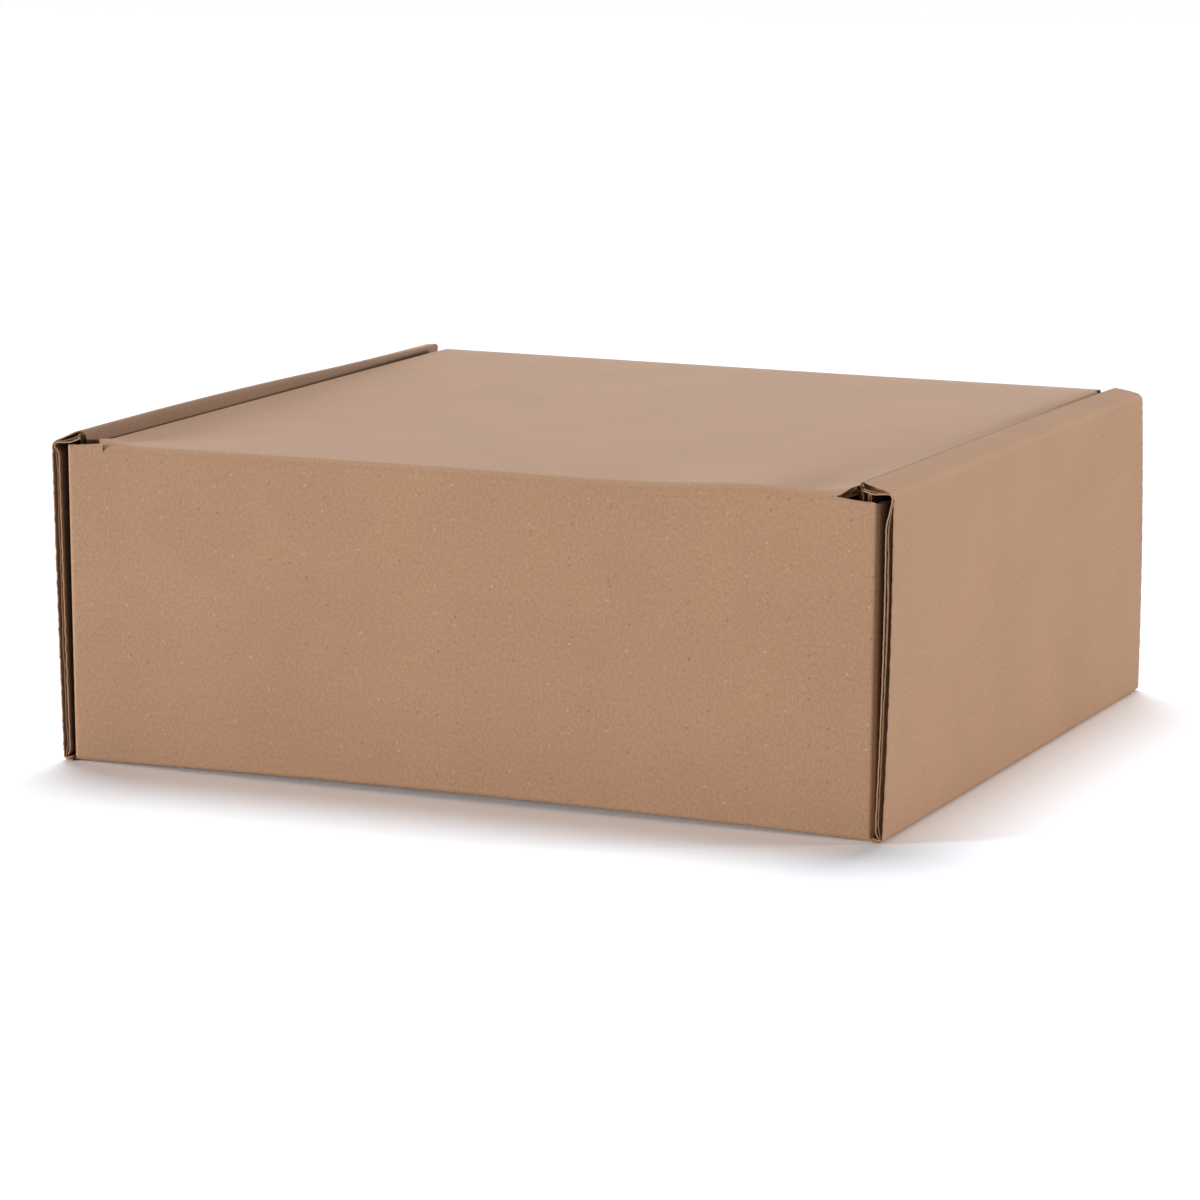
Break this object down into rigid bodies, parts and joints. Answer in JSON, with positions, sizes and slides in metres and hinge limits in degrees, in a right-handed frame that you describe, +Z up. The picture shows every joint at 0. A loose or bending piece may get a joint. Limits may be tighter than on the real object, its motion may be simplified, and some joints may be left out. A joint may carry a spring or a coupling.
{
  "type": "cardboard mailer box",
  "caption": "Closed roll-end mailer box of kraft corrugated board with a hinged tuck-in lid, rolled double side walls and corner tabs; holds packed goods.",
  "frame": {"origin": "middle of the footprint, on the floor", "axes": "+X along the hinge wall, +Y from the hinge wall to the far wall, +Z up"},
  "size_m": [0.3102, 0.286, 0.1225],
  "materials": {
    "kraft_board": "matt unbleached kraft liner on corrugated medium"
  },
  "bodies": {
    "tray": {"tray": "kraft_board"},
    "lid": {"lid": "kraft_board"}
  },
  "joints": [
    {"name": "lid_hinge", "type": "hinge", "parent": "tray", "child": "lid", "pos_m": [0, -0.1406, 0.1105], "axis": [1, 0, 0], "range_deg": [0, 180]}
  ]
}
